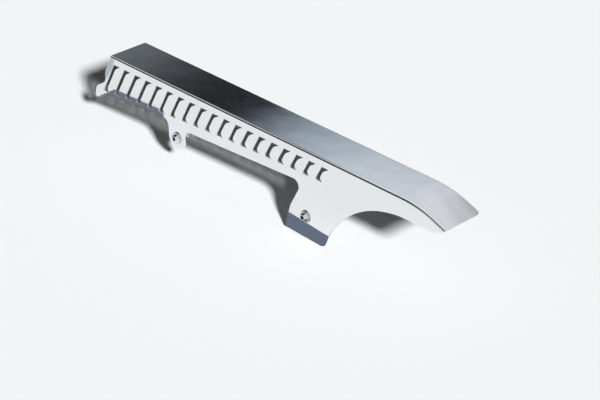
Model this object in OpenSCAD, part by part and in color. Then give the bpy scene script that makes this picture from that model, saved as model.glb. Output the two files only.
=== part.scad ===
// Upper belt guard of a motorcycle: a folded, chrome-plated sheet with two fixings
// X runs forward along the fold, Y outward to the left of the bike, Z up
// The origin is the rear fixing hole, on the back face of the side plate

/* [Sheet] */
// Thickness of the steel sheet
sheet_t = 2; // [1.5:0.1:2.4]
// Outer radius of the fold between the top and the side
fold_r = 3; // [2.8:0.1:5]

/* [Top plate] */
// Height of the top face above the rear fixing
top_z = 89.5; // [84:0.5:100]
// Width of the top plate from the side face to its free edge
top_w = 58.5; // [45:0.5:80]
// Front end of the fold, ahead of the rear fixing
front_x = 366.6; // [360:0.2:374]

/* [Tail] */
// Where the tail starts to curve down, behind the rear fixing
tail_x = 158; // [140:1:165]
// Radius of the tail curve, on the top face
tail_r = 139; // [120:1:160]
// Slope of the tail behind the curve
tail_deg = 20.6; // [18:0.1:22]
// Straight length behind the curve
tail_len = 20.2; // [18:0.2:24]
// Radius of the far rear corner of the top plate
tail_corner_r = 5; // [2:0.5:12]

/* [Slots] */
// Number of slots in the row
slot_count = 19; // [8:1:19]
// Front top corner of the rearmost slot, behind the rear fixing
slot_x = 29; // [25:0.5:40]
// Front top corner of the foremost slot, behind the front end of the fold
slot_front = 6.8; // [5:0.1:12]
// Depth of the row below the top face
slot_top = 11; // [8:0.5:12]
// Height of the rearmost slot
slot_len = 20.4; // [18:0.2:22]
// First-order growth of the height from slot to slot
slot_grow = 0.55; // [0.4:0.01:0.6]
// Second-order growth of the height from slot to slot
slot_bow = 0.046; // [0.03:0.001:0.047]
// Rake of the slots from the vertical
slot_rake = 30; // [20:1:35]
// Width of a slot at its waist, along the row
slot_waist = 5.4; // [4:0.1:7]
// Width of a slot across its pointed ends, along the row
slot_end_w = 11.6; // [10:0.1:13]
// Thickness of the upper point at its tip
slot_point_t = 0.6; // [0.4:0.1:1]
// Radius that runs from the waist into the upper point
slot_upper_r = 13; // [8:0.5:14]
// Slope of the upper point below the row
slot_point_deg = 27; // [20:1:30]
// Radius that runs from the waist into the lower point
slot_lower_r = 5.5; // [5.2:0.1:7]
// Depth of the lower point below the centre of that radius, as a share of it
slot_lower_end = 0.91; // [0.85:0.01:0.95]
// Radius of the lower front corner of a slot
slot_corner_r = 1.4; // [0.8:0.1:2]

/* [Arm] */
// Depth of the arm below the top face, at the foot
arm_rear_h = 44.4; // [42:0.2:48]
// Slope of the lower edge between the foot and the tab
arm_rear_deg = 3.15; // [1:0.05:4]
// Depth of the arm below the top face, ahead of the tab
arm_front_h = 50.6; // [48:0.2:54]
// Slope of the lower edge ahead of the tab
arm_front_deg = 4.7; // [4:0.1:6]
// Radius of the lower edge into the ear
arm_end_r = 112; // [80:1:120]

/* [Front end] */
// Where the front edge turns upright, ahead of the fold end
nose_x = 13.4; // [10:0.2:16]
// Depth of that turn below the top face
nose_h = 27; // [22:0.5:30]
// Radius of that turn
nose_r = 20; // [12:1:24]
// How far the upright edge still leans forward
nose_lean = 1; // [0:0.1:2]
// Reach of the ear ahead of the front end of the fold
ear_x = 38; // [32:0.5:42]
// Depth of the ear below the top face
ear_h = 71.3; // [68:0.1:76]
// Depth at which the ear leaves the front edge
ear_root_h = 42.5; // [40:0.5:46]
// Radius between the front edge and the ear
ear_root_r = 9; // [5:0.5:12]
// Outer radius of the ear
ear_r = 12; // [6:0.5:13]
// Height of the ear's front side above its lowest point
ear_side_h = 17; // [15:0.5:20]
// How far the ear's front side leans
ear_side_lean = 4; // [3:0.2:6]
// Width of the corner cut off the ear's tip
ear_cut_x = 3; // [2:0.2:4]
// Height of that cut
ear_cut_h = 4; // [3:0.2:5]
// Radius at the upper end of the cut
ear_tip_r = 1.5; // [0.8:0.1:2]
// Radius at its lower end
ear_low_r = 0.8; // [0.4:0.1:1]
// Where the lower edge starts to rise to the arm, behind the ear's tip
ear_len = 25.4; // [22:0.2:30]

/* [Foot] */
// Front edge of the foot at the arm, ahead of the fixing
foot_root_x = 4.2; // [2:0.2:8]
// Front edge of the foot at its bend, ahead of the fixing
foot_mid_x = 26; // [22:0.5:30]
// Height of that bend above the fixing
foot_mid_z = 5.5; // [0:0.5:11]
// Radius of that bend
foot_mid_r = 40; // [20:1:60]
// Front lower corner of the foot, ahead of the fixing
foot_toe_x = 35.4; // [30:0.2:40]
// Depth of the front lower corner below the fixing
foot_drop = 26.5; // [21:0.5:30]
// Radius of the front lower corner
foot_toe_r = 1.2; // [0.5:0.1:4]
// Slope of the bottom edge of the foot, down to the rear
foot_deg = 2.7; // [0:0.1:4]
// Radius of the notch between the arm and the foot
notch_r = 8.8; // [4:0.2:12]
// Radius of the rear lower corner of the foot
foot_heel_r = 7; // [3:0.5:8]

/* [Arch] */
// Radius of the arch over the pulley
arch_r = 144.3; // [140:0.1:146]
// Centre of the arch behind the rear fixing
arch_x = 167.6; // [165:0.1:172]
// Height left between the arch and the top face
arch_h = 25.2; // [22:0.2:28]
// Radius that lifts the lower edge to the tail end
tip_r = 35.8; // [30:0.2:40]

/* [Front tab] */
// Centre of the front fixing, ahead of the rear one
tab_x = 237; // [225:1:250]
// Height of the front fixing above the rear one
tab_z = 17.5; // [10:0.5:21]
// Width of the tab
tab_w = 32; // [26:1:40]
// Width of the flat at the tab's lower end
tab_flat = 1; // [0.4:0.1:6]
// Radius of the tab where it joins the arm
tab_root_r = 10; // [4:0.5:12]

/* [Fixings] */
// Diameter of the fixing screws
screw_d = 8; // [6:1:8]
// Clearance of the holes in the sheet, on the diameter
hole_clear = 0.8; // [0.4:0.1:1.2]
// Clearance of the washer on the screw, on the diameter
washer_clear = 0.4; // [0.2:0.1:0.6]
// Outer diameter of the washers
washer_d = 16; // [15:0.5:20]
// Thickness of the washers
washer_t = 1.6; // [1:0.1:2]
// Diameter of the button heads
head_d = 14; // [12:0.2:14.6]
// Height of the button heads
head_h = 4.4; // [3.6:0.1:5]
// Key size of the sockets
key_w = 5; // [4:0.5:6]
// Depth of the sockets
key_h = 2.8; // [2:0.1:3.2]
// How much thinner than the thread the plain neck under the head is, on the diameter
neck_thin = 0.8; // [0.4:0.1:1.2]
// Length of the tapered end of the screws
screw_taper = 1; // [0.5:0.1:1.5]
// Length of the screws under the head
screw_len = 20; // [16:1:30]

/* [Hidden] */
$fn = 64;
// Facets of the tail curve
tail_fn = 240;
// How far a cutter runs past the face it cuts
cut = 1;
seat_y = sheet_t + washer_t;
screw_tip_y = seat_y - screw_len;
thread_len = screw_len - seat_y;
neck_d = screw_d - neck_thin;

// Slope of the tail, with a sine of three decimals so that its surfaces meet the curve exactly
tail_a = asin(round(sin(tail_deg) * 1000) / 1000);

// Ends of the tail on the top face, as [x, depth]
curve_end = [-tail_x - tail_r * sin(tail_a), -tail_r * (1 - cos(tail_a))];
tail_end = curve_end - tail_len * [cos(tail_a), sin(tail_a)];

// Distance from one slot to the next
slot_pitch = (front_x - slot_front + slot_x) / (slot_count - 1);

// Depths below the top face of the foot's bend and front lower corner, and of the front fixing
foot_mid_h = top_z - foot_mid_z;
foot_toe_h = top_z + foot_drop;
tab_h = top_z - tab_z;
tab_r = (tab_w - tab_flat) / 2;

// Rear lower corner of the foot, where its bottom edge meets the arch. The rounding of that
// corner takes the first few degrees of the arch
heel_turn = 4;
arch_c = [-arch_x, -arch_h - arch_r];
foot_m = tan(foot_deg);
heel_c = -foot_toe_h - (foot_toe_x - arch_c.x) * foot_m - arch_c.y;
heel_dx = (sqrt(pow(arch_r, 2) * (1 + foot_m * foot_m) - heel_c * heel_c) - heel_c * foot_m)
    / (1 + foot_m * foot_m);
heel_dz = heel_c + heel_dx * foot_m;

// Centre of the arc that lifts the lower edge to the tail end
tip_rise = tail_end.y + arch_h;
tip_c = [tail_end.x + sqrt(pow(tip_r, 2) - pow(tip_r - tip_rise, 2)), tip_r - arch_h];

function unit(v) = v / norm(v);

// Points of an arc from one angle to another, about two degrees apart
function arc(centre, r, from, to) =
    let (n = ceil(abs(to - from) * sqrt(r) / 24) + 2)
    [for (i = [0:n]) let (a = from + (to - from) * i / n) centre + r * [cos(a), sin(a)]];

// The arc that rounds corner b, which has the neighbours a and c
function fillet(a, b, c, r) =
    let (
        u = unit(a - b),
        v = unit(c - b),
        half = acos(u * v) / 2,
        centre = b + unit(u + v) * r / sin(half),
        p = b + u * r / tan(half) - centre,
        q = b + v * r / tan(half) - centre,
        from = atan2(p.y, p.x),
        turn = (atan2(q.y, q.x) - from + 540) % 360 - 180
    )
    arc(centre, r, from, from + turn);

// An outline from corners [x, depth, radius], each rounded by its own radius
function rounded(c) = [
    for (i = [0:len(c) - 1])
        let (
            a = c[(i + len(c) - 1) % len(c)],
            b = c[i],
            d = c[(i + 1) % len(c)]
        )
        each b.z == 0 ? [[b.x, b.y]] : fillet([a.x, a.y], [b.x, b.y], [d.x, d.y], b.z)
];

// Depth of the arm's lower edge behind the tab and ahead of it
function rear_edge(x) = arm_rear_h + (x - foot_root_x) * tan(arm_rear_deg);
function front_edge(x) = arm_front_h + (x - tab_x - tab_w / 2) * tan(arm_front_deg);

// Height of slot number k, counted from the rear
function slot_h(k) = slot_len + slot_grow * k + slot_bow * k * k;

// An outline in X and depth becomes a plate between two values of Y
module plate(y0, y1) {
    translate([0, y1, top_z])
        rotate([90, 0, 0])
            linear_extrude(height = y1 - y0)
                children();
}

// A section in Y and depth runs along the fold: straight, round the curve and down the tail
module along_fold() {
    spare_a = 5;
    translate([-tail_x, 0, top_z])
        rotate([90, 0, 90])
            linear_extrude(height = front_x + tail_x)
                children();
    difference() {
        translate([-tail_x, 0, top_z - tail_r])
            rotate([90, 0, 0])
                rotate([0, 0, 90])
                    rotate_extrude(angle = tail_a + spare_a, $fn = tail_fn)
                        translate([tail_r, 0])
                            rotate(-90)
                                children();
        on_tail()
            translate([tail_len - tail_r / 4, -top_w, -top_w])
                cube([tail_r / 4, 2 * top_w, 2 * top_w]);
    }
    on_tail()
        rotate([90, 0, 90])
            linear_extrude(height = tail_len)
                children();
}

// The frame of the tail: its end is at X = 0 and its top face at Z = 0
module on_tail() {
    translate([-tail_x, 0, top_z - tail_r])
        rotate([0, -tail_a, 0])
            translate([-tail_len, 0, tail_r])
                children();
}

module top_section() {
    translate([sheet_t - top_w, -sheet_t])
        square([top_w - fold_r, sheet_t]);
}

module fold_section() {
    translate([sheet_t - fold_r, -fold_r])
        intersection() {
            difference() {
                circle(r = fold_r);
                circle(r = fold_r - sheet_t);
            }
            square(fold_r);
        }
}

// All that lies below the fold, seen from the side
module under_fold() {
    r = tail_r - fold_r;
    translate([-tail_x, -2 * foot_toe_h])
        square([front_x + ear_x + tail_x, 2 * foot_toe_h - fold_r]);
    translate([-tail_x, -tail_r]) {
        circle(r = r, $fn = tail_fn);
        rotate(tail_a)
            translate([-tail_len, 0])
                square([tail_len, r]);
    }
}

// The side plate, round by the ear, the tab, the foot and the arch. Its upper edge is cut
// to the fold by the shape above
module side_outline() {
    heel = arch_c + [heel_dx, heel_dz];
    tip_x = front_x + ear_x;
    arm_end_x = tip_x - ear_len;
    tab_front = tab_x + tab_w / 2;
    tab_rear = tab_x - tab_w / 2;
    tab_low = -tab_h - tab_w / 2;
    intersection() {
        under_fold();
        polygon(rounded(concat(
            [
                [tail_end.x, 0, 0],
                [front_x, 0, 0],
                [front_x, -fold_r, 0],
                [front_x + nose_x, -nose_h, nose_r],
                [front_x + nose_x + nose_lean, -ear_root_h, ear_root_r],
                [tip_x - ear_side_lean, ear_side_h - ear_h, ear_r],
                [tip_x, ear_cut_h - ear_h, ear_tip_r],
                [tip_x - ear_cut_x, -ear_h, ear_low_r],
                [arm_end_x, -front_edge(arm_end_x), arm_end_r],
                [tab_front, -front_edge(tab_front), tab_root_r],
                [tab_front, tab_low, tab_r],
                [tab_rear, tab_low, tab_r],
                [tab_rear, -rear_edge(tab_rear), tab_root_r],
                [foot_root_x, -arm_rear_h, notch_r],
                [foot_mid_x, -foot_mid_h, foot_mid_r],
                [foot_toe_x, -foot_toe_h, foot_toe_r],
                [heel.x, heel.y, foot_heel_r]
            ],
            [for (p = arc(arch_c, arch_r, atan2(heel_dz, heel_dx) + heel_turn, 90)) [p.x, p.y, 0]],
            [[tail_end.x, -arch_h, 0]]
        )));
    }
}

// What the rising lower edge takes off at the tail end, of the side plate and the fold
module tip_outline() {
    past = 9;
    polygon(concat(
        arc(tip_c, tip_r, 270, 270 - asin((tip_c.x - tail_end.x) / tip_r)),
        [
            [tail_end.x - past, tail_end.y],
            [tail_end.x - past, -arch_h - past],
            [tip_c.x, -arch_h - past]
        ]
    ));
}

// One slot of height h, round from its front top corner. Its front side is straight, and
// behind it a tongue of metal leaves a waist with a point above and a point below
function slot_outline(h) =
    let (
        rake = [sin(slot_rake), -cos(slot_rake)],
        nose = [cos(slot_point_deg), -sin(slot_point_deg)],
        point = [-slot_end_w, -slot_point_t],
        // where the lower side of the upper point would meet the waist
        s = (slot_waist - slot_end_w + slot_point_t * nose.x / nose.y)
            / (rake.x - rake.y * nose.x / nose.y),
        meet = [-slot_waist, 0] + rake * s,
        low_z = slot_lower_r * slot_lower_end - h,
        low_c = [-slot_waist - low_z * tan(slot_rake) - slot_lower_r / cos(slot_rake), low_z],
        corner = [h * tan(slot_rake), -h]
    )
    concat(
        [[0, 0], [-slot_end_w, 0], point],
        fillet(point, meet, low_c + slot_lower_r * [cos(slot_rake), sin(slot_rake)], slot_upper_r),
        arc(low_c, slot_lower_r, slot_rake, -asin(slot_lower_end)),
        fillet([low_c.x, -h], corner, [0, 0], slot_corner_r)
    );

module slots() {
    for (k = [0:slot_count - 1])
        plate(-cut, sheet_t + cut)
            translate([slot_pitch * k - slot_x, -slot_top])
                polygon(slot_outline(slot_h(k)));
}

// A bore or shank of the given diameter along Y
module along_y(d, y0, y1) {
    translate([0, y0, 0])
        rotate([-90, 0, 0])
            cylinder(d = d, h = y1 - y0);
}

module at_rear() {
    children();
}

module at_front() {
    translate([tab_x, 0, top_z - tab_h])
        children();
}

module guard() {
    seam = 0.01;
    color("silver")
        difference() {
            union() {
                along_fold()
                    top_section();
                difference() {
                    union() {
                        along_fold()
                            fold_section();
                        plate(0, sheet_t)
                            side_outline();
                    }
                    plate(sheet_t - fold_r - seam, sheet_t + cut)
                        tip_outline();
                }
            }
            slots();
            at_rear()
                along_y(screw_d + hole_clear, -cut, sheet_t + cut);
            at_front()
                along_y(screw_d + hole_clear, -cut, sheet_t + cut);
            on_tail()
                translate([0, sheet_t - top_w, -sheet_t - cut])
                    difference() {
                        translate([-cut, -cut, 0])
                            cube([tail_corner_r + cut, tail_corner_r + cut, sheet_t + 2 * cut]);
                        translate([tail_corner_r, tail_corner_r, -cut])
                            cylinder(r = tail_corner_r, h = sheet_t + 4 * cut);
                    }
        }
}

module washer() {
    difference() {
        along_y(washer_d, sheet_t, seat_y);
        along_y(screw_d + washer_clear, sheet_t - cut, seat_y + cut);
    }
}

// Button-head screw: a domed head with a hexagon socket, a plain neck as long as the washer
// and the sheet are thick, and the threaded end, drawn at its outer diameter
module screw() {
    dome_r = (pow(head_d / 2, 2) + pow(head_h, 2)) / (2 * head_h);
    difference() {
        translate([0, screw_tip_y, 0])
            rotate([-90, 0, 0])
                rotate_extrude()
                    union() {
                        polygon([
                            [0, 0],
                            [screw_d / 2 - screw_taper, 0],
                            [screw_d / 2, screw_taper],
                            [screw_d / 2, thread_len],
                            [neck_d / 2, thread_len],
                            [neck_d / 2, screw_len],
                            [0, screw_len]
                        ]);
                        intersection() {
                            translate([0, screw_len])
                                square([head_d / 2, head_h]);
                            translate([0, screw_len + head_h - dome_r])
                                circle(r = dome_r);
                        }
                    }
        translate([0, seat_y + head_h - key_h, 0])
            rotate([-90, 0, 0])
                cylinder(d = key_w / cos(30), h = key_h + cut, $fn = 6);
    }
}

module rear_washer() {
    color("gainsboro")
        at_rear()
            washer();
}

module rear_screw() {
    color("lightgray")
        at_rear()
            screw();
}

module front_washer() {
    color("gainsboro")
        at_front()
            washer();
}

module front_screw() {
    color("lightgray")
        at_front()
            screw();
}

guard();
rear_washer();
rear_screw();
front_washer();
front_screw();
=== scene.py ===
import math

import bmesh
import bpy
from mathutils import Matrix, Vector
from mathutils.geometry import delaunay_2d_cdt


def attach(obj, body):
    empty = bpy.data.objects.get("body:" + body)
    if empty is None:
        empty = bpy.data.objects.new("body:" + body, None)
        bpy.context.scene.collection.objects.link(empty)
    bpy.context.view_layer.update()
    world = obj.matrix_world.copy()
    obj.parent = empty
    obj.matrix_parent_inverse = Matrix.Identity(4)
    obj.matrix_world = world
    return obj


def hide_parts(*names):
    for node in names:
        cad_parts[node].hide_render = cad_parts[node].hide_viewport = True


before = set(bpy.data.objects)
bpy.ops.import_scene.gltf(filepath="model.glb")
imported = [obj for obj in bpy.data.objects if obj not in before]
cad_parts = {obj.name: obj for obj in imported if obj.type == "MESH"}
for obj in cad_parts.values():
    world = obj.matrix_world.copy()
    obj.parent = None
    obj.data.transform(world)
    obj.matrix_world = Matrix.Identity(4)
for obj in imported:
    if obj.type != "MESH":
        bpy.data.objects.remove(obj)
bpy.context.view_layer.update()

# Sizes in millimetres, in the frame of the part: X forward, Y outward, Z up, and the
# origin on the axis of the rear fixing at the back face of the side plate
MM = 0.001
SHEET_T = 2.0
FOLD_R = 3.0
TOP_Z = 89.5
TOP_W = 58.5
FRONT_X = 366.6
TAIL_X = 158.0
TAIL_R = 139.0
TAIL_A = math.asin(0.352)
TAIL_LEN = 20.2
TAIL_CORNER_R = 5.0

SLOT_COUNT = 19
SLOT_PITCH = 21.6
SLOT_X = 29.0
SLOT_TOP = 11.0
SLOT_LEN = 20.4
SLOT_GROW = 0.55
SLOT_BOW = 0.046
SLOT_RAKE = math.radians(30)
SLOT_WAIST = 5.4
SLOT_END_W = 11.6
SLOT_POINT_T = 0.6
SLOT_UPPER_R = 13.0
SLOT_POINT_A = math.radians(27)
SLOT_LOWER_R = 5.5
SLOT_LOWER_END = 0.91
SLOT_CORNER_R = 1.4

ARM_REAR_H = 44.4
ARM_REAR_A = math.radians(3.15)
ARM_FRONT_H = 50.6
ARM_FRONT_A = math.radians(4.7)
ARM_END_R = 112.0
FRONT_STRAIGHT = 0.5
NOSE_X = 13.4
NOSE_H = 27.0
NOSE_R = 20.0
NOSE_LEAN = 1.0
EAR_X = 38.0
EAR_H = 71.3
EAR_LEN = 25.4
EAR_ROOT_H = 42.5
EAR_ROOT_R = 9.0
EAR_R = 12.0
EAR_SIDE_LEAN = 4.0
EAR_SIDE_H = 17.0
EAR_TIP_H = 4.0
EAR_TIP_R = 1.5
EAR_CUT_X = 3.0
EAR_CUT_R = 0.8
FOOT_ROOT_X = 4.2
FOOT_MID_X = 26.0
FOOT_MID_H = 84.0
FOOT_MID_R = 40.0
FOOT_TOE_X = 35.4
FOOT_TOE_H = 116.0
FOOT_TOE_R = 1.2
FOOT_A = math.radians(2.7)
NOTCH_R = 8.8
FOOT_HEEL_R = 7.0
ARCH_R = 144.3
ARCH_X = 167.6
ARCH_H = 25.2
TIP_R = 35.8
TAB_X = 237.0
TAB_H = 72.0
TAB_W = 32.0
TAB_ROOT_R = 10.0
TAB_FLAT = 0.5

SCREW_D = 8.0
NECK_D = 7.2
HOLE_D = 8.8
WASHER_BORE = 8.4
WASHER_D = 16.0
WASHER_T = 1.6
HEAD_D = 14.0
HEAD_H = 4.4
KEY_W = 5.0
KEY_H = 2.8
SCREW_LEN = 20.0
THREAD_PITCH = 1.25

# Looks: the rounding of the sheet's edges, and how finely round shapes are cut
EDGE_R = 0.35
EDGE_STEPS = 3
TURN_STEP = math.radians(7.5)
FOLD_STEPS = 12
TIP_STEPS = 6
CURVE_STEPS = 26
STRAIGHT_STEPS = 12
ARCH_STEPS = 40
ARCH_LEAD = math.radians(4)
BORE_STEPS = 48

# Limits in the mesh code: edges that count as one line, the longest corner as a multiple of
# the width, twice the smallest triangle's area, points that count as one, and the decimals
# by which a vertex is found again
STRAIGHT = 0.001
MITRE = 2.5
SLIVER = 0.00001
NEAR = 0.000001
PLACE_DIGITS = 4

# The camera that took the photograph, worked out from the wheel and the guard
CAMERA_MM = (-1455.1, 1363.2, 1145.3)
CAMERA_AZ = math.radians(227.077)
CAMERA_EL = math.radians(29.400)
CAMERA_ROLL = math.radians(-0.685)
CAMERA_F_PX = 1918.73
PHOTO_W_PX = 600
SENSOR_MM = 36.0
CLIP_END = 100


def vec(*p):
    return Vector(p)


def arc(centre, r, start, end):
    """Points of an arc, both ends included."""
    n = max(2, math.ceil(abs(end - start) / TURN_STEP))
    return [
        centre + r * vec(math.cos(a), math.sin(a))
        for a in (start + (end - start) * i / n for i in range(n + 1))
    ]


def fillet(a, b, c, r):
    """The arc that rounds corner b between a and c."""
    u = (a - b).normalized()
    v = (c - b).normalized()
    half = u.angle(v) / 2
    centre = b + (u + v).normalized() * r / math.sin(half)
    p = b + u * r / math.tan(half) - centre
    q = b + v * r / math.tan(half) - centre
    start = math.atan2(p.y, p.x)
    turn = (math.atan2(q.y, q.x) - start + 3 * math.pi) % (2 * math.pi) - math.pi
    return arc(centre, r, start, start + turn)


def rounded(corners):
    """An open run of (x, z, radius) corners with each inner one rounded."""
    points = []
    for i, (x, z, r) in enumerate(corners):
        b = vec(x, z)
        if r == 0 or i in (0, len(corners) - 1):
            points.append(b)
            continue
        a = vec(*corners[i - 1][:2])
        c = vec(*corners[i + 1][:2])
        points.extend(fillet(a, b, c, r))
    return points


# The profile of the top face, seen from the side: straight, round the tail curve, and down
CURVE_END = vec(-TAIL_X - TAIL_R * math.sin(TAIL_A), -TAIL_R * (1 - math.cos(TAIL_A)))
TAIL_DIR = vec(math.cos(TAIL_A), math.sin(TAIL_A))
TAIL_END = CURVE_END - TAIL_LEN * TAIL_DIR
CURVE_LEN = TAIL_R * TAIL_A
PROFILE_LEN = TAIL_LEN + CURVE_LEN + TAIL_X + FRONT_X


def on_profile(s, depth):
    """The point (x, z below the top face) at distance s from the tail end, depth below the top."""
    if s < TAIL_LEN:
        return TAIL_END + s * TAIL_DIR + depth * vec(TAIL_DIR.y, -TAIL_DIR.x)
    if s < TAIL_LEN + CURVE_LEN:
        a = TAIL_A - (s - TAIL_LEN) / TAIL_R
        out = vec(-math.sin(a), math.cos(a))
        return vec(-TAIL_X, -TAIL_R) + (TAIL_R - depth) * out
    return vec(s - TAIL_LEN - CURVE_LEN - TAIL_X, -depth)


# The arc that lifts the side plate's lower edge to the tail end
TIP_RISE = TAIL_END.y + ARCH_H
TIP_C = vec(TAIL_END.x + math.sqrt(TIP_R**2 - (TIP_R - TIP_RISE) ** 2), TIP_R - ARCH_H)


def tip_station(depth):
    """How far from the tail end the lifted edge lies at a depth below the tail's top face."""
    q = TAIL_END + depth * vec(TAIL_DIR.y, -TAIL_DIR.x) - TIP_C
    b = q.dot(TAIL_DIR)
    return -b - math.sqrt(b * b - (q.dot(q) - TIP_R**2))


class Builder:
    """Collects faces whose corners are found again by their place."""

    def __init__(self):
        self.bm = bmesh.new()
        self.found = {}
        self.normals = {}

    def vert(self, p):
        key = tuple(round(c, PLACE_DIGITS) for c in p)
        if key not in self.found:
            self.found[key] = self.bm.verts.new([c * MM for c in p])
        return self.found[key]

    def face(self, points, material=0):
        corners = []
        for p in points:
            v = self.vert(p)
            if v not in corners:
                corners.append(v)
        if len(corners) < 3 or self.bm.faces.get(corners):
            return
        f = self.bm.faces.new(corners)
        f.material_index = material
        f.smooth = True


def signed_area(points):
    total = 0.0
    for a, b in zip(points, points[1:] + points[:1]):
        total += a.x * b.y - b.x * a.y
    return total / 2


def offset(points, widths, share):
    """Moves each edge of a closed outline to its left by its width times share."""
    moved = []
    n = len(points)
    for i in range(n):
        a, b, c = points[i - 1], points[i], points[(i + 1) % n]
        u, v = (b - a).normalized(), (c - b).normalized()
        w0, w1 = widths[i - 1] * share, widths[i] * share
        n0 = vec(-u.y, u.x)
        cross = u.x * v.y - u.y * v.x
        if abs(cross) < STRAIGHT:
            moved.append(b + n0 * max(w0, w1))
            continue
        # beside an edge that stays, the corner moves along that edge
        if w1 == 0:
            moved.append(b + v * w0)
            continue
        if w0 == 0:
            moved.append(b - u * w1)
            continue
        # where the two moved edges meet
        step = b + (v * w0 - u * w1) / cross
        reach = (step - b).length
        limit = MITRE * max(w0, w1)
        if reach > limit > 0:
            step = b + (step - b) * (limit / reach)
        moved.append(step)
    return moved


def inside(p, outline):
    """Whether p lies inside a closed outline."""
    hit = False
    for a, b in zip(outline, outline[1:] + outline[:1]):
        if (a.y > p.y) != (b.y > p.y):
            if p.x < a.x + (p.y - a.y) * (b.x - a.x) / (b.y - a.y):
                hit = not hit
    return hit


def edge_faces(builder, points, widths, place):
    """The rounded edges and the wall along one contour. Returns the contour of the flat part."""
    angles = [math.pi / 2 * j / EDGE_STEPS for j in range(EDGE_STEPS + 1)]
    rings = [offset(points, widths, 1 - math.sin(a)) for a in angles]
    depths = [EDGE_R * (1 - math.cos(a)) for a in angles]
    edges = [(i, (i + 1) % len(points)) for i in range(len(points)) if widths[i] > 0]
    for j in range(EDGE_STEPS):
        outer, inner = rings[j], rings[j + 1]
        t0, t1 = depths[j], depths[j + 1]
        for i, k in edges:
            quad = [(outer[i], t0), (outer[k], t0), (inner[k], t1), (inner[i], t1)]
            builder.face([place(p, t) for p, t in quad])
            builder.face([place(p, SHEET_T - t) for p, t in quad], 1)
    for i, k in edges:
        a, b = rings[-1][i], rings[-1][k]
        t0, t1 = EDGE_R, SHEET_T - EDGE_R
        builder.face([place(a, t0), place(b, t0), place(b, t1), place(a, t1)])
    return rings[0]


def flat_faces(builder, contours, lines, place):
    """Both faces between the first contour and the others, cut along the lines."""
    coords, edges = [], []
    for loop in contours:
        first = len(coords)
        coords += loop
        edges += [(first + i, first + (i + 1) % len(loop)) for i in range(len(loop))]
    for line in lines:
        first = len(coords)
        coords += line
        edges += [(first + i, first + i + 1) for i in range(len(line) - 1)]
    made, _, triangles = delaunay_2d_cdt(coords, edges, [], 0, NEAR)[:3]
    for t in triangles:
        a, b, c = (made[i] for i in t)
        mid = (a + b + c) / 3
        if not inside(mid, contours[0]) or any(inside(mid, hole) for hole in contours[1:]):
            continue
        if abs((b - a).cross(c - a)) < SLIVER:
            continue
        builder.face([place(made[i], 0) for i in t])
        builder.face([place(made[i], SHEET_T) for i in t], 1)
        for i in t:
            top, under = place(made[i], 0), place(made[i], SHEET_T)
            out = (Vector(top) - Vector(under)).normalized()
            builder.normals[builder.vert(top)] = out
            builder.normals[builder.vert(under)] = -out


def sheet(builder, outline, widths, holes, lines, place):
    """Both faces, the rounded edges and the walls of one stretch of the sheet.

    outline is the closed contour and widths the rounding of each of its edges, 0 where it
    joins another stretch. lines gives the cuts that the flat part gets, from its contour.
    place turns (u, v) and a depth from the outer face into a point."""
    if signed_area(outline) < 0:
        outline = outline[::-1]
        widths = widths[-2::-1] + widths[-1:]
    contours = [edge_faces(builder, outline, widths, place)]
    for hole in holes:
        if signed_area(hole) > 0:
            hole = hole[::-1]
        contours.append(edge_faces(builder, hole, [EDGE_R] * len(hole), place))
    flat_faces(builder, contours, lines(contours[0]), place)


# Along the folded strip: where the lifted edge leaves the fold, and the first cut across it,
# just ahead of the rounded far corner
TIP_START = tip_station(FOLD_R)
FIRST_CUT = TAIL_CORNER_R + 2


def stations():
    """Distances from the tail end at which the strip is cut across, from the tip to the front."""
    curve = [TAIL_LEN + CURVE_LEN * i / CURVE_STEPS for i in range(CURVE_STEPS + 1)]
    ahead = TAIL_LEN + CURVE_LEN
    step = (PROFILE_LEN - ahead) / STRAIGHT_STEPS
    straight = [ahead + step * i for i in range(1, STRAIGHT_STEPS)]
    return [FIRST_CUT] + curve + straight


def fold_place(p, depth):
    """Point of the top plate and the fold, from the distances along the profile and across.

    The distance across is 0 where the fold starts, and grows down round the fold."""
    flat_end = SHEET_T - FOLD_R
    if p.y <= 0:
        y, down = flat_end + p.y, depth
    else:
        a = p.y / FOLD_R
        y = flat_end + (FOLD_R - depth) * math.sin(a)
        down = FOLD_R - (FOLD_R - depth) * math.cos(a)
    at = on_profile(p.x, down)
    return (at.x, y, TOP_Z + at.y)


def side_place(p, depth):
    return (p.x, SHEET_T - depth, TOP_Z + p.y)


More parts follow.
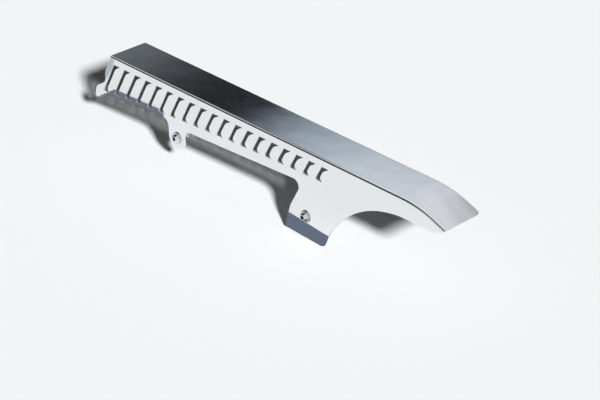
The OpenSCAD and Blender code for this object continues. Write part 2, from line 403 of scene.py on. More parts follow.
def add_strip(builder):
    """The top plate with the fold, laid out flat as distance along and distance across."""
    far = -(TOP_W - FOLD_R)
    fold = [FOLD_R * math.pi / 2 * i / FOLD_STEPS for i in range(FOLD_STEPS + 1)]
    cuts = stations()
    outline, widths = [], []

    def add(p, w):
        outline.append(p)
        widths.append(w)

    # the near edge, which joins the side plate, then the front edge over to the far corner
    add(vec(TIP_START, fold[-1]), 0)
    for s in cuts:
        add(vec(s, fold[-1]), 0)
    for v in reversed(fold):
        add(vec(PROFILE_LEN, v), EDGE_R)
    add(vec(PROFILE_LEN, far), EDGE_R)
    # back along the far edge, round the tail's corner, and along its end to the rounded tip
    for s in reversed(cuts):
        add(vec(s, far), EDGE_R)
    corner = vec(TAIL_CORNER_R, far + TAIL_CORNER_R)
    for p in arc(corner, TAIL_CORNER_R, math.radians(270), math.radians(180)):
        add(p, EDGE_R)
    add(vec(0, 0), EDGE_R)
    for i in range(1, TIP_STEPS):
        a = math.pi / 2 * i / TIP_STEPS
        add(vec(tip_station(FOLD_R * (1 - math.cos(a))), FOLD_R * a), EDGE_R)

    def lines(ring):
        """Cuts across at the stations and along the fold, from and to corners of the ring."""
        made = [[vec(s, far + EDGE_R), vec(s, fold[-1])] for s in cuts]
        tip = [p for p in ring if p.x < TIP_START + 1 and -0.1 < p.y < fold[-1] - NEAR]
        for i, v in enumerate(fold[:-1]):
            line = [vec(PROFILE_LEN - EDGE_R, v), vec(FIRST_CUT, v)]
            # the tip has half as many corners, so every second cut runs on to one of them
            if i % 2 == 0:
                line.append(min(tip, key=lambda p: abs(p.y - v)))
            made.append(line)
        return made

    sheet(builder, outline, widths, [], lines, fold_place)


def rear_edge(x):
    return ARM_REAR_H + (x - FOOT_ROOT_X) * math.tan(ARM_REAR_A)


def front_edge(x):
    return ARM_FRONT_H + (x - TAB_X - TAB_W / 2) * math.tan(ARM_FRONT_A)


def side_corners():
    """The side plate's corners from the front of the fold down, back and round to the arch."""
    # the heel is where the foot's lower edge, through its toe, meets the arch's circle
    arch = vec(-ARCH_X, -ARCH_H - ARCH_R)
    m = math.tan(FOOT_A)
    c = -FOOT_TOE_H - (FOOT_TOE_X - arch.x) * m - arch.y
    dx = (math.sqrt(ARCH_R**2 * (1 + m * m) - c * c) - c * m) / (1 + m * m)
    dz = c + dx * m
    ear_x = FRONT_X + EAR_X
    end_x = ear_x - EAR_LEN
    tab_front, tab_rear = TAB_X + TAB_W / 2, TAB_X - TAB_W / 2
    tab_low = -TAB_H - TAB_W / 2
    tab_r = TAB_W / 2 - TAB_FLAT
    corners = [
        (FRONT_X, -FOLD_R, 0),
        (FRONT_X, -FOLD_R - FRONT_STRAIGHT, 0),
        (FRONT_X + NOSE_X, -NOSE_H, NOSE_R),
        (FRONT_X + NOSE_X + NOSE_LEAN, -EAR_ROOT_H, EAR_ROOT_R),
        (ear_x - EAR_SIDE_LEAN, EAR_SIDE_H - EAR_H, EAR_R),
        (ear_x, EAR_TIP_H - EAR_H, EAR_TIP_R),
        (ear_x - EAR_CUT_X, -EAR_H, EAR_CUT_R),
        (end_x, -front_edge(end_x), ARM_END_R),
        (tab_front, -front_edge(tab_front), TAB_ROOT_R),
        (tab_front, tab_low, tab_r),
        (tab_rear, tab_low, tab_r),
        (tab_rear, -rear_edge(tab_rear), TAB_ROOT_R),
        (FOOT_ROOT_X, -ARM_REAR_H, NOTCH_R),
        (FOOT_MID_X, -FOOT_MID_H, FOOT_MID_R),
        (FOOT_TOE_X, -FOOT_TOE_H, FOOT_TOE_R),
        (arch.x + dx, arch.y + dz, FOOT_HEEL_R),
    ]
    # round the arch, from just past the rounded heel up to its crown
    heel = math.atan2(dz, dx) + ARCH_LEAD
    for i in range(ARCH_STEPS + 1):
        a = heel + (math.pi / 2 - heel) * i / ARCH_STEPS
        corners.append((arch.x + ARCH_R * math.cos(a), arch.y + ARCH_R * math.sin(a), 0))
    return corners


def slot(k):
    """Outline of slot k, as in the construction: a straight flank in front and a bowed one behind.
    The arc at its lower end stops at the angle whose sine is SLOT_LOWER_END."""
    h = SLOT_LEN + SLOT_GROW * k + SLOT_BOW * k * k
    rake = vec(math.sin(SLOT_RAKE), -math.cos(SLOT_RAKE))
    nose = vec(math.cos(SLOT_POINT_A), -math.sin(SLOT_POINT_A))
    s = (SLOT_WAIST - SLOT_END_W + SLOT_POINT_T * nose.x / nose.y) / (
        rake.x - rake.y * nose.x / nose.y
    )
    meet = vec(-SLOT_WAIST, 0) + rake * s
    low_z = SLOT_LOWER_R * SLOT_LOWER_END - h
    low = vec(-SLOT_WAIST - low_z * math.tan(SLOT_RAKE) - SLOT_LOWER_R / math.cos(SLOT_RAKE), low_z)
    across = vec(math.cos(SLOT_RAKE), math.sin(SLOT_RAKE))
    point = vec(-SLOT_END_W, -SLOT_POINT_T)
    shape = [vec(0, 0), vec(-SLOT_END_W, 0), point]
    shape += fillet(point, meet, low + SLOT_LOWER_R * across, SLOT_UPPER_R)
    shape += arc(low, SLOT_LOWER_R, SLOT_RAKE, -math.asin(SLOT_LOWER_END))
    shape += fillet(vec(low.x, -h), vec(h * math.tan(SLOT_RAKE), -h), vec(0, 0), SLOT_CORNER_R)
    at = vec(SLOT_PITCH * k - SLOT_X, -SLOT_TOP)
    return [at + p for p in shape]


def bore(x, z):
    """Outline of a fixing hole."""
    turns = [math.tau * i / BORE_STEPS for i in range(BORE_STEPS)]
    return [vec(x, z) + HOLE_D / 2 * vec(math.cos(a), math.sin(a)) for a in turns]


def add_side(builder):
    """The side plate below the fold."""
    points = rounded(side_corners())
    lift_end = on_profile(TIP_START, FOLD_R)
    end_a = math.atan2(lift_end.y - TIP_C.y, lift_end.x - TIP_C.x) % math.tau
    tip = arc(TIP_C, TIP_R, math.radians(270), end_a)
    points += tip[:-1]
    widths = [EDGE_R] * len(points)
    points.append(lift_end)
    widths.append(0)
    for s in stations():
        points.append(on_profile(s, FOLD_R))
        widths.append(0)
    holes = [slot(k) for k in range(SLOT_COUNT)]
    holes += [bore(0, -TOP_Z), bore(TAB_X, -TAB_H)]
    sheet(builder, points, widths, holes, lambda ring: [], side_place)


def make_object(name, bm, materials):
    """A piece from a bmesh, with its materials and its finish, riding on the only body."""
    mesh = bpy.data.meshes.new(name)
    bm.to_mesh(mesh)
    bm.free()
    obj = bpy.data.objects.new(name, mesh)
    bpy.context.scene.collection.objects.link(obj)
    for m in materials:
        mesh.materials.append(m)
    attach(obj, "root")
    return obj


def settle_normals(obj):
    """Shades flat faces flat beside their rounded edges."""
    mod = obj.modifiers.new("normals", "WEIGHTED_NORMAL")
    mod.mode = "FACE_AREA"
    mod.keep_sharp = True


def set_normals(mesh, normals):
    """Shades the given vertices by their own normals, and the others as they are."""
    shaded = [
        normals.get(loop.vertex_index, mesh.corner_normals[i].vector)
        for i, loop in enumerate(mesh.loops)
    ]
    mesh.normals_split_custom_set(shaded)


# Edges that turn by more than this many degrees are shaded as sharp
SHEET_SHARP = 32
FIXING_SHARP = 40


def mark_sharp(bm, degrees):
    for e in bm.edges:
        if len(e.link_faces) == 2 and e.calc_face_angle(0) > math.radians(degrees):
            e.smooth = False


def make_guard(materials):
    """The folded sheet, with the outer finish first and the inner one second."""
    builder = Builder()
    add_strip(builder)
    add_side(builder)
    bm = builder.bm
    bmesh.ops.recalc_face_normals(bm, faces=bm.faces)
    mark_sharp(bm, SHEET_SHARP)
    bm.verts.index_update()
    normals = {v.index: n for v, n in builder.normals.items()}
    obj = make_object("guard_sheet", bm, materials)
    set_normals(obj.data, normals)
    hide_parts("guard")


def new_material(name, kind):
    """A material with one shader of a kind on its output, and what more nodes are made with."""
    mat = bpy.data.materials.new(name)
    mat.use_nodes = True
    nodes, links = mat.node_tree.nodes, mat.node_tree.links
    nodes.clear()
    out = nodes.new("ShaderNodeOutputMaterial")
    shader = nodes.new(kind)
    links.new(shader.outputs[0], out.inputs["Surface"])
    return mat, nodes, links, shader


# The spread of a noise's values, and the scale, detail and stretch of each noise in the plate.
# The marks run along X, the way such sheets are polished.
NOISE_LOW = 0.3
NOISE_HIGH = 0.7
HAZE_SPREAD = (0.35, 0.65)
HAZE = (14, 4, (1, 1, 1))
MARKS = (1, 6, (60, 1400, 1400))
WAVES = (22, 1, (1, 1.6, 1.6))


def noise(nodes, links, coords, scale, detail, stretch):
    """A noise in the object's own coordinates, stretched along its axes."""
    mapping = nodes.new("ShaderNodeMapping")
    mapping.inputs["Scale"].default_value = stretch
    links.new(coords, mapping.inputs["Vector"])
    tex = nodes.new("ShaderNodeTexNoise")
    tex.inputs["Scale"].default_value = scale
    tex.inputs["Detail"].default_value = detail
    links.new(mapping.outputs["Vector"], tex.inputs["Vector"])
    return tex.outputs["Fac"]


def ranged(nodes, links, value, low, high):
    """A noise value turned into one between low and high."""
    node = nodes.new("ShaderNodeMapRange")
    node.inputs["From Min"].default_value = NOISE_LOW
    node.inputs["From Max"].default_value = NOISE_HIGH
    node.inputs["To Min"].default_value = low
    node.inputs["To Max"].default_value = high
    links.new(value, node.inputs["Value"])
    return node.outputs["Result"]


def bump(nodes, links, height, distance):
    """A bump in the shading, whose height of 0 to 1 stands for a distance in metres."""
    node = nodes.new("ShaderNodeBump")
    node.inputs["Strength"].default_value = 1.0
    node.inputs["Distance"].default_value = distance
    links.new(height, node.inputs["Height"])
    return node


def chrome(name, bright, dull, rough, wave, grain):
    """Chrome plate: slow waves of the sheet below, fine polishing marks and a faint haze.

    bright and dull are the two tones of the haze, rough the low and high roughness, wave and
    grain the heights in metres of the slow waves and of the polishing marks."""
    mat, nodes, links, bsdf = new_material(name, "ShaderNodeBsdfPrincipled")
    bsdf.inputs["Metallic"].default_value = 1.0
    coords = nodes.new("ShaderNodeTexCoord").outputs["Object"]
    ramp = nodes.new("ShaderNodeValToRGB")
    for element, position, tone in zip(ramp.color_ramp.elements, HAZE_SPREAD, (dull, bright)):
        element.position = position
        element.color = (*tone, 1)
    links.new(noise(nodes, links, coords, *HAZE), ramp.inputs["Fac"])
    links.new(ramp.outputs["Color"], bsdf.inputs["Base Color"])
    marks = noise(nodes, links, coords, *MARKS)
    links.new(ranged(nodes, links, marks, *rough), bsdf.inputs["Roughness"])
    slow = bump(nodes, links, noise(nodes, links, coords, *WAVES), wave)
    fine = bump(nodes, links, marks, grain)
    links.new(slow.outputs["Normal"], fine.inputs["Normal"])
    links.new(fine.outputs["Normal"], bsdf.inputs["Normal"])
    return mat


def ring_of(bm, y, radius, steps):
    """A ring of vertices about Y at height y, whose radius depends on the angle."""
    turns = [math.tau * i / steps for i in range(steps)]
    return [
        bm.verts.new((radius(a) * MM * math.cos(a), y * MM, radius(a) * MM * math.sin(a)))
        for a in turns
    ]


def centre_of(bm, y):
    """The single vertex on the axis that closes a run of rings at height y."""
    return [bm.verts.new((0, y * MM, 0))]


def revolve(bm, profile, steps):
    """Turns (radius, height along the axis) points about Y. Returns the rings of vertices."""
    rings = [ring_of(bm, y, lambda a: r, steps) for r, y in profile]
    for lower, upper in zip(rings, rings[1:]):
        bridge(bm, lower, upper)
    return rings


def bridge(bm, a, b, material=0):
    """Faces between two rings of as many vertices, or between a ring and its centre."""
    n = max(len(a), len(b))
    for i in range(n):
        k = (i + 1) % n
        corners = [a[i % len(a)], a[k % len(a)], b[k % len(b)], b[i % len(b)]]
        unique = list(dict.fromkeys(corners))
        if len(unique) > 2:
            f = bm.faces.new(unique)
            f.material_index = material
            f.smooth = True


def move(bm, x, z):
    """Moves a fixing from the origin to its hole."""
    bmesh.ops.translate(bm, verts=bm.verts, vec=(x * MM, 0, z * MM))


def quarter(cr, cy, r, start, end, steps=4):
    """Points of a rounded edge in a revolved profile, as (radius, height)."""
    return [
        (cr + r * math.cos(a), cy + r * math.sin(a))
        for a in (math.radians(start + (end - start) * i / steps) for i in range(steps + 1))
    ]


# The screw in detail, in millimetres: the head's rounded rim, the lip of the socket, the point
# of the drill that it was cut with, and the thread. The rim's rounding ends at RIM_TURN, a share
# of the dome's angle at the seat plus degrees, and the dome begins DOME_LEAD degrees past it.
SCREW_STEPS = 48
RIM_R = 0.35
RIM_SETBACK = 0.22
RIM_TURN = (0.6, 10)
DOME_LEAD = 4
DOME_STEPS = 14
NECK_BLEND = 0.2
LIP_ROUND = 0.45
LIP_FALL = 0.18
LIP_DEPTH = 0.32
LIP_GROW = 0.12
DRILL_D = 4.2
DRILL_STEP = 0.05
DRILL_POINT = 0.75
THREAD_START = 0.3
THREAD_DEPTH = 0.61 * THREAD_PITCH
THREAD_WIDTH = 1.6
THREAD_FLANK = 4
TIP_CHAMFER = 1.0
ROWS_PER_TURN = 10
WASHER_STEPS = 72
WASHER_EDGE_R = 0.25


def hexagon(across):
    """The radius of a hexagon by the angle."""
    sixth = math.pi / 3
    return lambda a: across / 2 / math.cos((a + sixth / 2) % sixth - sixth / 2)


def head_profile(seat):
    """The head from its seat over the dome to the lip of the socket, as (radius, height)."""
    dome_r = ((HEAD_D / 2) ** 2 + HEAD_H**2) / (2 * HEAD_H)
    dome_c = seat + HEAD_H - dome_r
    rim_a = math.degrees(math.asin((seat - dome_c) / dome_r))
    lip_r = KEY_W / 2 / math.cos(math.pi / 6) + LIP_ROUND
    lip_a = math.degrees(math.acos(lip_r / dome_r))
    rim = HEAD_D / 2 - RIM_R - RIM_SETBACK
    profile = [(NECK_D / 2 + NECK_BLEND, seat), ((NECK_D + HEAD_D) / 4, seat)]
    profile += quarter(rim, seat + RIM_R, RIM_R, -90, rim_a * RIM_TURN[0] + RIM_TURN[1])
    return profile + quarter(0, dome_c, dome_r, rim_a + DOME_LEAD, lip_a, DOME_STEPS)


def thread_radius(y, tip_y):
    """The radius of the thread at height y by the angle: a ridge that winds round the shank."""
    fade = min(1.0, max(0.0, THREAD_START - y))
    crest = SCREW_D / 2 - max(0.0, TIP_CHAMFER - (y - tip_y))
    root = min(crest, SCREW_D / 2 - THREAD_DEPTH)

    def radius(a):
        phase = (y / THREAD_PITCH + a / math.tau) % 1.0
        ridge = min(1.0, max(0.0, THREAD_WIDTH - abs(phase - 0.5) * THREAD_FLANK))
        cut = root + (crest - root) * ridge
        return NECK_D / 2 + (cut - NECK_D / 2) * fade

    return radius


def add_socket(bm, lip, lip_y, floor_y):
    """The socket from its lip down to the drill's point, with painted shade on its deeper faces."""
    drill_y = floor_y - DRILL_STEP
    socket = [
        ring_of(bm, lip_y - LIP_FALL, hexagon(KEY_W + LIP_GROW), SCREW_STEPS),
        ring_of(bm, lip_y - LIP_DEPTH, hexagon(KEY_W), SCREW_STEPS),
        ring_of(bm, floor_y, hexagon(KEY_W), SCREW_STEPS),
        ring_of(bm, drill_y, lambda a: DRILL_D / 2, SCREW_STEPS),
        centre_of(bm, drill_y - DRILL_POINT),
    ]
    bridge(bm, lip, socket[0])
    bridge(bm, socket[0], socket[1])
    # the deeper walls, the floor and the drill's point take the second material, a painted shade of
    # the recess
    for upper, lower in zip(socket[1:], socket[2:]):
        bridge(bm, upper, lower, 1)


def add_shank(bm, under_head, seat):
    """The neck and the thread, from the ring under the head down to the tip."""
    tip_y = seat - SCREW_LEN
    shank = [under_head]
    # the neck ends a little above the thread, which grows from THREAD_START down
    for y in (seat - THREAD_START, 2 * THREAD_START):
        shank.append(ring_of(bm, y, lambda a: NECK_D / 2, SCREW_STEPS))
    count = int((THREAD_START - tip_y) / THREAD_PITCH * ROWS_PER_TURN)
    for i in range(count + 1):
        y = THREAD_START - (THREAD_START - tip_y) * i / count
        shank.append(ring_of(bm, y, thread_radius(y, tip_y), SCREW_STEPS))
    shank.append(centre_of(bm, tip_y))
    for upper, lower in zip(shank, shank[1:]):
        bridge(bm, upper, lower)


def make_screw(name, node, x, z, materials):
    """Button-head screw: domed head with a hexagon socket, neck, and a cut thread."""
    bm = bmesh.new()
    seat = SHEET_T + WASHER_T
    profile = head_profile(seat)
    rings = revolve(bm, profile, SCREW_STEPS)
    add_socket(bm, rings[-1], profile[-1][1], seat + HEAD_H - KEY_H)
    add_shank(bm, rings[0], seat)
    move(bm, x, z)
    bmesh.ops.recalc_face_normals(bm, faces=bm.faces)
    mark_sharp(bm, FIXING_SHARP)
    obj = make_object(name, bm, materials)
    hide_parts(node)


def make_washer(name, node, x, z, materials):
    """Flat washer with its edges rounded by plating."""
    bm = bmesh.new()
    low, high = SHEET_T, SHEET_T + WASHER_T
    inner, outer, r = WASHER_BORE / 2, WASHER_D / 2, WASHER_EDGE_R
    profile = quarter(inner + r, high - r, r, 180, 90)
    profile += quarter(outer - r, high - r, r, 90, 0)
    profile += quarter(outer - r, low + r, r, 0, -90)
    profile += quarter(inner + r, low + r, r, -90, -180)
    rings = revolve(bm, profile, WASHER_STEPS)
    bridge(bm, rings[-1], rings[0])
    move(bm, x, z)
    bmesh.ops.recalc_face_normals(bm, faces=bm.faces)
    mark_sharp(bm, FIXING_SHARP)
    obj = make_object(name, bm, materials)
    settle_normals(obj)
    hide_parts(node)


def make_camera():
    """The photograph's camera, from its place, its three angles and its focal length."""
    a, e, r = CAMERA_AZ, CAMERA_EL, CAMERA_ROLL
    back = vec(math.sin(a) * math.cos(e), -math.cos(a) * math.cos(e), math.sin(e))
    right0 = vec(math.cos(a), math.sin(a), 0)
    up0 = back.cross(right0)
    right = right0 * math.cos(r) + up0 * math.sin(r)
    up = up0 * math.cos(r) - right0 * math.sin(r)
    data = bpy.data.cameras.new("camera")
    data.sensor_width = SENSOR_MM
    data.lens = CAMERA_F_PX * SENSOR_MM / PHOTO_W_PX
    data.clip_end = CLIP_END
    cam = bpy.data.objects.new("camera", data)
    bpy.context.scene.collection.objects.link(cam)
    cam.matrix_world = Matrix.Translation([c * MM for c in CAMERA_MM]) @ Matrix(
        (right, up, back)
    ).transposed().to_4x4()
    bpy.context.scene.camera = cam


# The floor, in metres. Metal shows it pale up to the first distance to the left and right of
# the guard, and dark from the second one on.
FLOOR_Z = -0.0305
FLOOR_HALF = 12
FLOOR_FALL = (0.18, 0.90)
FLOOR_PALE = (0.85, 0.86, 0.87, 1)
FLOOR_DARK = (0.30, 0.33, 0.37, 1)

# The cards. Those of the foot, the front and the edge are given by the places (x, z) on the
# side plate where the camera sees their corners, and the fixing's one by its corners (x, y).
CARD_GAP = 0.0003
FOOT_TONE = (0.144, 0.177, 0.240, 1)
FOOT_CARD = [(60, -2.5), (-60, -12.3), (-60, -40), (60, -40)]
FIXING_TONE = (0.035, 0.045, 0.065, 1)
FIXING_CARD = [(-16, 28), (-3, 64), (-60, 64), (-60, 28)]
FRONT_TONE = (0.165, 0.188, 0.235, 1)
FRONT_CARD = [
    (262, 47.4),
    (299.9, 45.9),
    (340.4, 44.1),
    (357.8, 42.9),
    (363, 41.7),
    (372.1, 36.2),
    (381.2, 30.2),
    (394.7, 22.1),
    (390, -40),
    (262, -10),
]
EDGE_TONE = (0.46, 0.53, 0.61, 1)
EDGE_CARD = [(356.5, 93), (363.4, 72.9), (377.5, 52.5), (382.5, 50), (400, 49), (400, 93)]


def card(name, corners, tone):
    """A card of the studio that only polished metal shows, and that only shows its own light."""
    mat, _, _, glow = new_material(name, "ShaderNodeEmission")
    glow.inputs["Color"].default_value = tone
    mesh = bpy.data.meshes.new(name)
    mesh.from_pydata(corners, [], [tuple(range(len(corners)))])
    mesh.materials.append(mat)
    obj = bpy.data.objects.new(name, mesh)
    bpy.context.scene.collection.objects.link(obj)
    obj.visible_camera = False
    obj.visible_diffuse = False
    obj.visible_shadow = False


def mirrored_on(x, z, height):
    """The point at a height that the camera sees in the side plate at (x, z), in metres."""
    eye = Vector(CAMERA_MM) * MM
    eye.y = 2 * SHEET_T * MM - eye.y
    toward = Vector((x * MM, SHEET_T * MM, z * MM)) - eye
    return eye + toward * ((height - eye.z) / toward.z)


def make_cards():
    """Dark things beside the guard that its polished side shows: below the foot's fixing, and
    along the lower edge and the front edge of the front end. The fixing's card is seen only by
    the right-hand side of the rear screw and washer."""
    low = FLOOR_Z + CARD_GAP
    card("card_foot", [mirrored_on(x, z, low) for x, z in FOOT_CARD], FOOT_TONE)
    card("card_fixing", [(x * MM, y * MM, low) for x, y in FIXING_CARD], FIXING_TONE)
    card("card_front", [mirrored_on(x, z, 0.0) for x, z in FRONT_CARD], FRONT_TONE)
    card("card_edge", [mirrored_on(x, z, 0.0) for x, z in EDGE_CARD], EDGE_TONE)


def make_floor():
    """A pale floor, which metal shows darker further to the left and right."""
    mat, nodes, links, diffuse = new_material("floor", "ShaderNodeBsdfDiffuse")
    coords = nodes.new("ShaderNodeTexCoord")
    split = nodes.new("ShaderNodeSeparateXYZ")
    links.new(coords.outputs["Object"], split.inputs[0])
    away = nodes.new("ShaderNodeMath")
    away.operation = "ABSOLUTE"
    links.new(split.outputs["Y"], away.inputs[0])
    fall = nodes.new("ShaderNodeMapRange")
    fall.inputs["From Min"].default_value = FLOOR_FALL[0]
    fall.inputs["From Max"].default_value = FLOOR_FALL[1]
    links.new(away.outputs[0], fall.inputs["Value"])
    path = nodes.new("ShaderNodeLightPath")
    share = nodes.new("ShaderNodeMath")
    share.operation = "MULTIPLY"
    links.new(fall.outputs["Result"], share.inputs[0])
    links.new(path.outputs["Is Glossy Ray"], share.inputs[1])
    tone = nodes.new("ShaderNodeMix")
    tone.data_type = "RGBA"
    tone.inputs[6].default_value = FLOOR_PALE
    tone.inputs[7].default_value = FLOOR_DARK
    links.new(share.outputs[0], tone.inputs["Factor"])
    links.new(tone.outputs[2], diffuse.inputs["Color"])
    mesh = bpy.data.meshes.new("floor")
    s = FLOOR_HALF
    mesh.from_pydata([(-s, -s, 0), (s, -s, 0), (s, s, 0), (-s, s, 0)], [], [(0, 1, 2, 3)])
    mesh.materials.append(mat)
    floor = bpy.data.objects.new("floor", mesh)
    floor.location = (0, 0, FLOOR_Z)
    bpy.context.scene.collection.objects.link(floor)


class Sky:
    """Builds the world's nodes: numbers worked out from the direction that is looked at."""

    def __init__(self, tree):
        self.nodes, self.links = tree.nodes, tree.links
        self.nodes.clear()
        coords = self.nodes.new("ShaderNodeTexCoord")
        split = self.nodes.new("ShaderNodeSeparateXYZ")
        self.links.new(coords.outputs["Generated"], split.inputs[0])
        self.x, self.y, self.z = split.outputs

    def feed(self, socket, value):
        """Sets a socket to a number or a colour, or links it to another node's output."""
        if isinstance(value, bpy.types.NodeSocket):
            self.links.new(value, socket)
        else:
            socket.default_value = value

    def math(self, operation, *values):
        node = self.nodes.new("ShaderNodeMath")
        node.operation = operation
        for socket, value in zip(node.inputs, values):
            self.feed(socket, value)
        return node.outputs[0]

    def times(self, a, b):
        return self.math("MULTIPLY", a, b)

    def rise(self, value, start, end):
        """0 before start, 1 past end and smooth between, where end may lie below start."""
        node = self.nodes.new("ShaderNodeMapRange")
        node.interpolation_type = "SMOOTHSTEP"
        flip = end < start
        node.inputs["From Min"].default_value = min(start, end)
        node.inputs["From Max"].default_value = max(start, end)
        node.inputs["To Min"].default_value = 1.0 if flip else 0.0
        node.inputs["To Max"].default_value = 0.0 if flip else 1.0
        self.links.new(value, node.inputs["Value"])
        return node.outputs["Result"]

    def azimuth(self):
        return self.math("DEGREES", self.math("ARCTAN2", self.y, self.x))

    def ramp(self, value, stops):
        """Colour by an angle, from (degrees, brightness, blueness) stops."""
        start, end = stops[0][0], stops[-1][0]
        share = self.nodes.new("ShaderNodeMapRange")
        share.inputs["From Min"].default_value = start
        share.inputs["From Max"].default_value = end
        self.links.new(value, share.inputs["Value"])
        ramp = self.nodes.new("ShaderNodeValToRGB")
        elements = ramp.color_ramp.elements
        while len(elements) < len(stops):
            elements.new(0.5)
        for element, (degrees, level, blue) in zip(elements, stops):
            element.position = (degrees - start) / (end - start)
            element.color = [*(level * (1 + blue * part) for part in BLUE), 1]
        self.links.new(share.outputs["Result"], ramp.inputs["Fac"])
        return ramp.outputs["Color"]

    def light(self, colour, strength=1.0):
        node = self.nodes.new("ShaderNodeBackground")
        self.feed(node.inputs["Color"], colour)
        self.feed(node.inputs["Strength"], strength)
        return node.outputs[0]

    def mix(self, share, a, b):
        node = self.nodes.new("ShaderNodeMixShader")
        self.links.new(share, node.inputs["Fac"])
        self.links.new(a, node.inputs[1])
        self.links.new(b, node.inputs[2])
        return node.outputs[0]


# Brightness and blueness of the right-hand wall, by an azimuth in degrees that leans with the
# height, so that what the top plate shows runs straight across it. BLUE is what a blueness of 1
# adds to red, green and blue, as shares.
WALL_LEAN = -150.0
WALL_HEIGHT = 0.46
FLAT_PART_TOP = 0.486
RIGHT_WALL = [
    (-135.0, 0.72, 0.3),
    (-117.0, 0.79, 0.3),
    (-94.0, 0.82, 0.3),
    (-64.0, 0.80, 0.3),
    (-55.0, 0.76, 0.45),
    (-50.2, 0.735, 0.6),
    (-48.3, 0.70, 0.65),
    (-46.3, 0.635, 0.85),
    (-44.4, 0.50, 1.15),
    (-43.4, 0.445, 1.3),
    (-42.5, 0.35, 1.4),
    (-41.6, 0.226, 1.3),
    (-40.7, 0.092, 1.2),
    (-39.8, 0.020, 1.0),
    (-38.6, 0.014, 0.8),
    (-36.9, 0.022, 0.7),
    (-35.1, 0.045, 0.8),
    (-33.0, 0.11, 0.8),
    (-31.0, 0.17, 0.9),
]
BLUE = (-0.115, -0.01, 0.125)
WALL_LEVEL = 0.957

# Where the studio changes for metal. Each pair is the start and the end of a smooth change, in
# the direction (x, y, z) that is looked in, in its y by its z, or in degrees round.
AHEAD_X = (0.61, 0.645)
GAP_Y = (-0.02, -0.10)
BAND_Y = (0.26, 0.36)
BAND_X = (-0.30, 0.10)
LEFT_Y = (0.80, 0.90)
RIM_SLANT = (-1.320, -1.342)
RIM_TURN_IN = (-42.4, -43.6)
FAR_Y = (-0.645, -0.665)
FAR_X = (0.40, 0.15)
FRONT_TURN = (-37.0, -15.0)
LOW_Z = (0.38, 0.33)
RIGHT_Y = (-0.49, -0.53)

# Brightness and tone of the studio's parts, and what the right-hand wall's two dimmer parts lose
OVERHEAD_LEVEL = 0.85
LEFT_LEVEL = 0.75
FRONT_LEVEL = 0.45
DARK_LEVEL = 0.035
AMBIENT_LEVEL = 0.05
RIM_DIM = -0.17
FAR_DIM = -0.43
SKY_TINT = (0.96, 0.99, 1.03, 1)
LOW_TINT = (0.90, 0.93, 0.97, 1)
WHITE = (1, 1, 1, 1)


def overhead_light(sky):
    """The wide light overhead with a dark gap and a dark band ahead, and the left-hand wall."""
    gap = sky.times(sky.rise(sky.x, *AHEAD_X), sky.rise(sky.y, *GAP_Y))
    band = sky.times(sky.rise(sky.y, *BAND_Y), sky.rise(sky.x, *BAND_X))
    overhead = sky.times(sky.math("SUBTRACT", 1.0, gap), sky.math("SUBTRACT", 1.0, band))
    overhead = sky.times(overhead, OVERHEAD_LEVEL)
    left = sky.times(sky.rise(sky.y, *LEFT_Y), LEFT_LEVEL)
    level = sky.math("MAXIMUM", overhead, left)
    return sky.light(SKY_TINT, sky.math("MAXIMUM", level, DARK_LEVEL))


def right_wall(sky):
    """The pale wall to the right, which falls off towards the front and is paler again ahead."""
    azimuth = sky.azimuth()
    # the curved tail looks higher up; it goes on with the shades at the end of the flat part
    height = sky.math("MINIMUM", sky.z, FLAT_PART_TOP)
    raised = sky.math("SUBTRACT", height, WALL_HEIGHT)
    leaning = sky.math("MULTIPLY_ADD", raised, WALL_LEAN, azimuth)
    # what the far edge of the top plate shows, behind the dark part, is dimmer
    slant = sky.math("DIVIDE", sky.y, height)
    rim = sky.times(sky.rise(slant, *RIM_SLANT), sky.rise(leaning, *RIM_TURN_IN))
    rim = sky.math("MULTIPLY_ADD", rim, RIM_DIM, 1.0)
    # so is the wall far to the right behind
    far = sky.times(sky.rise(sky.y, *FAR_Y), sky.rise(sky.x, *FAR_X))
    strength = sky.times(rim, sky.math("MULTIPLY_ADD", far, FAR_DIM, WALL_LEVEL))
    wall = sky.light(sky.ramp(leaning, RIGHT_WALL), strength)
    front = sky.light(SKY_TINT, FRONT_LEVEL)
    wall = sky.mix(sky.rise(azimuth, *FRONT_TURN), wall, front)
    return sky.mix(sky.rise(sky.z, *LOW_Z), wall, sky.light(LOW_TINT))


def make_world():
    """Even light, white for the camera, and for polished metal a studio: a light overhead and
    walls on both sides."""
    world = bpy.data.worlds.new("studio")
    bpy.context.scene.world = world
    world.use_nodes = True
    sky = Sky(world.node_tree)
    out = sky.nodes.new("ShaderNodeOutputWorld")
    studio = sky.mix(sky.rise(sky.y, *RIGHT_Y), overhead_light(sky), right_wall(sky))
    even = sky.light(WHITE, AMBIENT_LEVEL)
    path = sky.nodes.new("ShaderNodeLightPath")
    seen = sky.mix(path.outputs["Is Glossy Ray"], even, studio)
    seen = sky.mix(path.outputs["Is Camera Ray"], seen, sky.light(WHITE))
    sky.links.new(seen, out.inputs["Surface"])


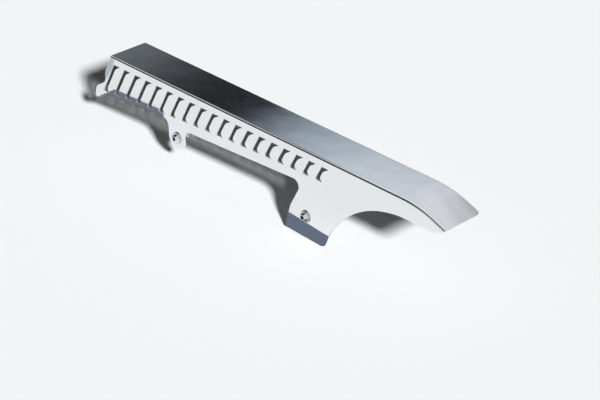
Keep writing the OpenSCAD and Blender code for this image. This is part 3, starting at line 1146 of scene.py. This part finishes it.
# The key light comes from the rear left, so that the guard's shadow falls where its slots look
LAMP_SLOPE = (1.6, -0.76)
LAMP_LEVEL = 1.0
LAMP_SPREAD = math.radians(5)


def make_lamp():
    """A key light that gives the level floor a set brightness whatever its slope."""
    toward = Vector((*LAMP_SLOPE, -1.0))
    data = bpy.data.lights.new("key", "SUN")
    data.energy = LAMP_LEVEL * math.pi * toward.length
    data.angle = LAMP_SPREAD
    lamp = bpy.data.objects.new("key", data)
    bpy.context.scene.collection.objects.link(lamp)
    lamp.rotation_mode = "QUATERNION"
    lamp.rotation_quaternion = toward.to_track_quat("-Z", "Y")
    lamp.visible_glossy = False


sheet_chrome = chrome(
    "sheet_chrome",
    bright=(0.86, 0.87, 0.88),
    dull=(0.83, 0.845, 0.86),
    rough=(0.035, 0.075),
    wave=0.00006,
    grain=0.0000004,
)
inner_chrome = chrome(
    "inner_chrome",
    bright=(0.56, 0.58, 0.60),
    dull=(0.46, 0.48, 0.50),
    rough=(0.18, 0.32),
    wave=0.0001,
    grain=0.000002,
)
screw_chrome = chrome(
    "screw_chrome",
    bright=(0.80, 0.81, 0.83),
    dull=(0.74, 0.76, 0.78),
    rough=(0.14, 0.22),
    wave=0.00001,
    grain=0.0000006,
)
# The socket's deeper faces: a painted shade, as dark as the shade deep in the recess
socket_painted_shade = chrome(
    "socket_painted_shade",
    bright=(0.060, 0.068, 0.080),
    dull=(0.030, 0.034, 0.040),
    rough=(0.45, 0.62),
    wave=0.00001,
    grain=0.000004,
)
washer_steel = chrome(
    "washer_steel",
    bright=(0.72, 0.73, 0.75),
    dull=(0.60, 0.62, 0.64),
    rough=(0.14, 0.26),
    wave=0.00001,
    grain=0.000002,
)

make_camera()
make_guard([sheet_chrome, inner_chrome])
TAB_Z = TOP_Z - TAB_H
for end, x, z in (("rear", 0, 0), ("front", TAB_X, TAB_Z)):
    make_washer(end + "_washer_ring", end + "_washer", x, z, [washer_steel])
    make_screw(end + "_button_screw", end + "_screw", x, z, [screw_chrome, socket_painted_shade])
make_floor()
make_cards()
make_world()
make_lamp()
bpy.context.scene.view_settings.view_transform = "Standard"
